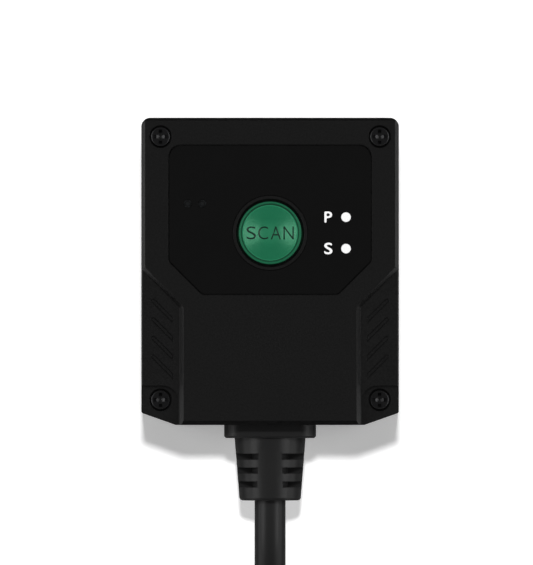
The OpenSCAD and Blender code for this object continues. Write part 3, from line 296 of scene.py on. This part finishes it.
def spun(name, colour, roughness, middle, face_r, groove_w, pitch_mm, tilt, skirt):
    """Satin plastic with fine rings, which lean the light to both sides of a round face.

    The face has a groove and a rim round it. The groove is lightened with painted light, the rim darkened
    with painted shade, and the skirt below is nearly black with painted shade.
    """
    f = Finish(name)
    clouds = f.noise(2.0, 3.0)
    # Painted shade: the skirt in the gap round the button turns nearly black below the face.
    clear_of_painted_shade = f.ramp(f.part(f.place, "Z"), skirt[0] * MM, skirt[1] * MM, 0.12, 1.0)
    offset = f.vector("MULTIPLY", f.vector("SUBTRACT", f.place, Vector(middle) * MM), (1.0, 1.0, 0.0))
    r = f.vector("LENGTH", offset, out="Value")
    edge = f.ramp(r, 0.97 * face_r * MM, face_r * MM)
    rim = f.ramp(r, (face_r + 0.8 * groove_w) * MM, (face_r + 1.2 * groove_w) * MM)
    waves = f.ramp(f.maths("SINE", r * (2 * math.pi / (pitch_mm * MM))), -0.6, 0.6, -tilt, tilt)
    lean = f.node("ShaderNodeVectorMath", {"operation": "SCALE"}, {
        0: f.vector("NORMALIZE", offset), "Scale": waves * (1 - edge) * f.ramp(r, 0.0, 0.6 * face_r * MM)})
    tint = f.mix(clouds, shade(colour, 0.96), shade(colour, 1.04))
    # Painted light: the groove just outside the face is lightened against its shade.
    tint = f.mix(edge, tint, shade(colour, 1.7))
    # Painted shade: the rim round the groove is darkened.
    tint = f.mix(rim, tint, shade(colour, 0.76))
    return f.done(
        Base_Color=f.mix(clear_of_painted_shade, BLACK, tint),
        Roughness=roughness + 0.04 * clouds, Normal=f.vector("NORMALIZE", f.vector("ADD", f.facing(), lean)),
        Metallic=0.4, Specular_IOR_Level=1.0)


def vent_mesh(name, colour, middle, pitch_mm):
    """The two sound vents: a dark disc with a paler middle, and a painted highlight on its rim."""
    f = Finish(name)
    offset = f.vector("SUBTRACT", f.place, Vector(middle) * MM)
    across = f.maths("ABSOLUTE", f.part(offset, "X")) - pitch_mm / 2 * MM
    along = f.part(offset, "Y")
    r = f.maths("SQRT", across * across + along * along)
    specks = f.ramp(f.noise(0.22, 2.0), 0.42, 0.58)
    # Painted highlight: a speckled pale ring round each vent's edge.
    rim = f.ramp(r, 0.44 * MM, 0.52 * MM) * specks
    core = f.ramp(r, 0.22 * MM, 0.40 * MM, 0.6, 0.0)
    return f.done(
        Base_Color=f.mix(f.maths("MAXIMUM", rim, core), shade(colour, 0.4), shade(colour, 3.0)),
        Roughness=0.5 + 0.1 * specks, Normal=f.bump(specks, 0.01, 0.4), Specular_IOR_Level=0.25)


def plated(name, colour, roughness, stretch=(1, 1, 1)):
    """Plated or turned metal with fine marks along one direction."""
    f = Finish(name)
    marks = f.noise(0.2, 4.0, stretch)
    clouds = f.noise(3.0, 2.0)
    return f.done(
        Base_Color=f.mix(marks, shade(colour, 0.86), shade(colour, 1.08)), Metallic=1.0,
        Roughness=roughness + 0.14 * clouds + 0.08 * marks, Normal=f.bump(marks, 0.002, 0.15, edge_mm=0.05))


def blackened(name, colour, glint_colour, roughness):
    """Blackened steel with a painted glint: a lighter colour where it slopes gently, on the heads' edges and
    in their recesses.
    """
    f = Finish(name)
    marks = f.noise(0.2, 4.0)
    upright = f.part(f.facing(), "Z")
    # Painted glint: faces that slope gently get a lighter colour.
    glint_mask = f.ramp(upright, 0.94, 0.985, 1.0, 0.0) * f.ramp(upright, 0.74, 0.84)
    return f.done(
        Base_Color=f.mix(glint_mask, f.mix(marks, shade(colour, 0.86), shade(colour, 1.08)), shade(glint_colour, 1.0)),
        Metallic=0.85, Roughness=roughness + 0.12 * marks, Normal=f.bump(marks, 0.004, 0.4))


def tinted_glass(name, colour, roughness):
    """Clear plastic or glass with a faint unevenness in its polish."""
    f = Finish(name)
    clouds = f.noise(4.0, 2.0)
    return f.done(
        Base_Color=f.mix(clouds, shade(colour, 0.92), shade(colour, 1.0)),
        Roughness=roughness + 0.03 * clouds, Transmission_Weight=1.0, IOR=1.49)


def printed(name, colour, roughness, glow=0.0):
    """Screen ink with a slightly uneven lay. A glow above 0 is painted light given off by the ink itself."""
    f = Finish(name)
    lay = f.noise(0.12, 3.0)
    ink = f.mix(lay, shade(colour, 0.95), shade(colour, 1.0))
    return f.done(
        Base_Color=ink, Roughness=roughness + 0.1 * lay, Emission_Color=ink, Emission_Strength=glow,
        Normal=f.bump(lay, 0.003, 0.3))


def woven(name, colour):
    """A woven strap: ribs across it and threads along it."""
    f = Finish(name)
    ribs = f.node("ShaderNodeTexWave", {"bands_direction": "Z"}, {
        "Vector": f.place, "Scale": 420.0, "Distortion": 1.5, "Detail": 2.0})
    threads = f.node("ShaderNodeTexWave", {"bands_direction": "Y"}, {
        "Vector": f.place, "Scale": 380.0, "Distortion": 1.2, "Detail": 2.0})
    fuzz = f.noise(0.2, 4.0)
    weave = ribs * threads
    return f.done(
        Base_Color=f.mix(weave, shade(colour, 0.6), shade(colour, 1.5)), Roughness=0.8 + 0.15 * fuzz,
        Normal=f.bump(weave + 0.4 * fuzz, 0.12, 0.7), Sheen_Weight=0.3)


def circuit_board(name, colour):
    """Solder mask over copper tracks."""
    f = Finish(name)
    tracks = f.node("ShaderNodeTexBrick", {"offset": 0.35}, {
        "Vector": f.place, "Scale": 340.0, "Mortar Size": 0.035,
        "Color1": BLACK, "Color2": BLACK, "Mortar": WHITE}, out="Fac")
    clouds = f.noise(2.0, 3.0)
    mask = f.mix(clouds, shade(colour, 0.85), shade(colour, 1.1))
    return f.done(
        Base_Color=f.mix(tracks, mask, shade(colour, 1.9)), Roughness=0.32 + 0.1 * clouds,
        Normal=f.bump(tracks, 0.03, 0.5))


shell_black = moulded(
    "grained_black", (0.0014, 0.0014, 0.0014), 0.36, grain_mm=0.24, grain_depth=0.06, edge_mm=0.06,
    speckled=True, glued_floor=FILM_FLOOR, Specular_IOR_Level=0.42)
film_black = moulded(
    "film_black", (0.0016, 0.0016, 0.0016), 0.36, grain_mm=0.08, grain_depth=0.003, edge_mm=0.05,
    Specular_IOR_Level=0.25)
jacket_black = moulded(
    "jacket_black", (0.0115, 0.0115, 0.0116), 0.38, grain_mm=0.25, grain_depth=0.008, edge_mm=0.08,
    matt_sides=(0.5, 0.82), Specular_IOR_Level=0.34)
button_green = spun(
    "button_green", (0.0180, 0.234, 0.109), 0.36, (*BUTTON_MID, 0.0), FACE_R, GROOVE_W, pitch_mm=0.1,
    tilt=0.52, skirt=SKIRT_SHADE_HEIGHTS)
vents_low, vents_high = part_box("sound_vents")
VENTS_MID = [(a + b) / 2 / MM for a, b in zip(vents_low, vents_high)]
VENT_PITCH = (vents_high[0] - vents_low[0] - (vents_high[1] - vents_low[1])) / MM
FINISHES = {
    shell_black: ["top_cover", "bottom_case"],
    film_black: ["panel_film"],
    vent_mesh("vent_mesh", (0.0034, 0.0038, 0.0040), VENTS_MID, VENT_PITCH): ["sound_vents"],
    jacket_black: ["strain_relief", "plug_grip"],
    button_green: ["scan_button"],
    # The screws' second colour is their painted glint.
    blackened("blackened_steel", (0.024, 0.024, 0.025), (0.060, 0.060, 0.062), 0.34): ["cover_screws"],
    plated("turned_brass", (0.70, 0.48, 0.19), 0.28, (1, 1, 12)): ["mount_inserts"],
    plated("zinc_steel", (0.62, 0.63, 0.64), 0.30): ["board_screws", "engine_screws"],
    plated("nickel_plate", (0.70, 0.69, 0.66), 0.16, (1, 0.08, 1)): ["plug_shell"],
    plated("gold_plate", (0.90, 0.66, 0.27), 0.20, (1, 0.1, 1)): ["plug_contacts"],
    tinted_glass("window_glass", (0.42, 0.20, 0.20), 0.03): ["front_window"],
    tinted_glass("lens_glass", (0.80, 0.86, 0.95), 0.01): ["lens"],
    tinted_glass("aimer_dome", (0.55, 0.95, 0.60), 0.08): ["aiming_lamp"],
    # Painted glow: the light pipes give off a little light of their own.
    printed("light_white", (0.93, 0.93, 0.93), 0.3, 0.05): ["power_light_pipe", "status_light_pipe"],
    printed("phosphor", (0.90, 0.82, 0.45), 0.5): ["lamps", "indicator_diodes"],
    moulded("seal_rubber", (0.012, 0.012, 0.012), 0.75): ["window_seal"],
    moulded("chip_black", (0.014, 0.014, 0.015), 0.55): [
        "decoder_chip", "memory_chip", "sounder", "tact_switch", "switch_plunger", "image_sensor"],
    moulded("engine_black", (0.013, 0.013, 0.014), 0.5): ["engine_chassis", "lens_barrel"],
    moulded("connector_natural", (0.72, 0.68, 0.58), 0.45, variation=0.05): [
        "board_socket", "lead_plug", "capacitors"],
    moulded("lead_red", (0.42, 0.04, 0.03), 0.4): ["leads"],
    moulded("ribbon_amber", (0.42, 0.19, 0.04), 0.35): ["engine_ribbon"],
    moulded("tongue_white", (0.75, 0.75, 0.76), 0.4, variation=0.04): ["plug_tongue"],
    circuit_board("solder_mask", (0.012, 0.11, 0.05)): ["main_board", "sensor_board"],
    woven("strap_weave", (0.018, 0.018, 0.020)): ["cable_tie"],
}


def paint(piece, material):
    """Gives every face of a piece the finish."""
    if not piece.data.materials:
        piece.data.materials.append(material)
    for entry in piece.material_slots:
        entry.link = "OBJECT"
        entry.material = material


for finish, names in FINISHES.items():
    for name in names:
        paint(nodes[name], finish)
paint(cable, jacket_black)


# Legends: thin layers of ink laid on the button's dome and on the film

INK_T = 0.03
# Spacing of the points along a softened letter, in letter heights
SOFT_STEP = 0.03
SOFT_PASSES = 8


def dome_height(x, y):
    """The height of the button's face at a point."""
    r = math.hypot(x - BUTTON_MID[0], y - BUTTON_MID[1])
    return FACE_Z + DOME * (1 - (r / FACE_R) ** 2)


def film_height(x, y):
    """The height of the film, the same everywhere."""
    return FILM_TOP


def soften(bm, passes):
    """Rounds the corners of a flat letter."""
    bmesh.ops.delete(bm, geom=bm.faces, context="FACES_KEEP_BOUNDARY")
    for edge in bm.edges[:]:
        cuts = int(edge.calc_length() / SOFT_STEP)
        if cuts:
            bmesh.ops.subdivide_edges(bm, edges=[edge], cuts=cuts)
    for _ in range(passes):
        bmesh.ops.smooth_vert(bm, verts=bm.verts, factor=0.5, use_axis_x=True, use_axis_y=True)
    bmesh.ops.triangle_fill(bm, use_beauty=True, edges=bm.edges)


def letter_mesh(letter, middle, size, weight, soft_passes):
    """One flat letter of the given width and height around a middle, in millimetres."""
    outline = bpy.data.curves.new("letter", "FONT")
    outline.body = letter
    outline.offset = weight
    outline.resolution_u = 6
    source = link("letter", outline)
    bpy.context.view_layer.update()
    depsgraph = bpy.context.evaluated_depsgraph_get()
    mesh = bpy.data.meshes.new_from_object(source.evaluated_get(depsgraph))
    bpy.data.objects.remove(source)
    bm = bmesh.new()
    bm.from_mesh(mesh)
    bmesh.ops.remove_doubles(bm, verts=bm.verts, dist=1e-5)
    if soft_passes:
        soften(bm, soft_passes)
    for i in range(2):
        spread = [v.co[i] for v in bm.verts]
        low, high = min(spread), max(spread)
        for v in bm.verts:
            v.co[i] = middle[i] + ((v.co[i] - low) / (high - low) - 0.5) * size[i]
    bm.to_mesh(mesh)
    bm.free()
    return mesh


def legend(name, letters, surface, weight, soft_passes=0):
    """Letters laid on a surface. Each has its sign, its middle and its size."""
    bm = bmesh.new()
    for letter, middle, size in letters:
        bm.from_mesh(letter_mesh(letter, middle, size, weight, soft_passes))
    for v in bm.verts:
        v.co = Vector((v.co.x, v.co.y, surface(v.co.x, v.co.y) - INK_T / 2)) * MM
    top = bmesh.ops.extrude_face_region(bm, geom=bm.faces[:])
    raised = [g for g in top["geom"] if isinstance(g, bmesh.types.BMVert)]
    bmesh.ops.translate(bm, vec=(0, 0, INK_T * MM), verts=raised)
    bmesh.ops.recalc_face_normals(bm, faces=bm.faces)
    mesh = bpy.data.meshes.new(name)
    bm.to_mesh(mesh)
    bm.free()
    return link(name, mesh)


# Painted glow: the white ink gives off a little light of its own.
white_ink = printed("white_ink", (0.93, 0.93, 0.93), 0.4, 0.05)
dark_ink = printed("dark_ink", (0.006, 0.026, 0.016), 0.45)

SCAN_H = 2.08
# Each letter with its middle along the row and its width
SCAN_ROW = [("S", -3.04, 1.52), ("C", -1.11, 1.62), ("A", 0.93, 1.64), ("N", 2.99, 1.66)]
scan_letters = [(letter, (x, BUTTON_MID[1]), (width, SCAN_H)) for letter, x, width in SCAN_ROW]
power_letter = [("P", (9.37, 8.75), (1.24, 1.80))]
status_letter = [("S", (9.38, 3.69), (1.32, 1.86))]
scan_legend = legend("legend_scan", scan_letters, dome_height, weight=-0.006)
power_legend = legend("legend_power", power_letter, film_height, weight=0.013, soft_passes=SOFT_PASSES)
status_legend = legend("legend_status", status_letter, film_height, weight=0.015, soft_passes=SOFT_PASSES)
for piece, body, ink, slot in (
        (scan_legend, "button", dark_ink, "chip"), (power_legend, "reader", white_ink, "light"),
        (status_legend, "reader", white_ink, "light")):
    paint(piece, ink)
    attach(piece, body)


# Floor and light

# Half the table's side, in metres
FLOOR_REACH = 4.0
# What the pale table adds to its own shade, where it is looked at
FLOOR_LIFT = 0.24
# A hair of room under the reader, in millimetres
FLOOR_DROP = 0.03
# The point that the lamps face, in metres
READER_MID = Vector((0, 0, 0.012))


def make_floor():
    """A pale table under the reader."""
    bm = bmesh.new()
    bmesh.ops.create_grid(bm, x_segments=1, y_segments=1, size=FLOOR_REACH)
    bmesh.ops.translate(bm, vec=(0, 0, -FLOOR_DROP * MM), verts=bm.verts)
    mesh = bpy.data.meshes.new("floor")
    bm.to_mesh(mesh)
    bm.free()
    floor = link("floor", mesh)
    f = Finish("pale_table")
    rays = f.node("ShaderNodeLightPath", out="Is Camera Ray")
    for other in ("Is Glossy Ray", "Is Transmission Ray"):
        rays = f.maths("MAXIMUM", rays, f.node("ShaderNodeLightPath", out=other))
    lift = f.mix(rays, BLACK, shade((1, 1, 1), FLOOR_LIFT))
    paint(floor, f.done(
        Base_Color=(0.97, 0.97, 0.97, 1.0), Roughness=0.9, Specular_IOR_Level=0.0,
        Emission_Color=lift, Emission_Strength=1.0))


def softbox(name, place, width, height, power):
    """A rectangular lamp that faces the reader."""
    lamp = bpy.data.lights.new(name, "AREA")
    lamp.shape = "RECTANGLE"
    lamp.size, lamp.size_y = width, height
    lamp.energy = power
    made = link(name, lamp)
    made.location = place
    made.rotation_mode = "QUATERNION"
    made.rotation_quaternion = (READER_MID - Vector(place)).to_track_quat("-Z", "Y")
    made.visible_camera = False


make_floor()
for box, side in (("left_box", -1), ("right_box", 1)):
    softbox(box, (side * 0.86, 0.0, 0.60), width=0.9, height=0.5, power=3.3)
softbox("top_panel", (0.0, 0.0, 1.20), width=1.2, height=1.2, power=0.85)

sun = link("sun", bpy.data.lights.new("sun", "SUN"))
sun.data.energy = 2.2
sun.data.angle = math.radians(4)
sun.visible_glossy = False
sun.rotation_euler = (math.radians(-13), 0, 0)

world = bpy.data.worlds.new("room")
world.use_nodes = True
world.node_tree.nodes["Background"].inputs["Color"].default_value = (0.03, 0.03, 0.03, 1)
scene.world = world
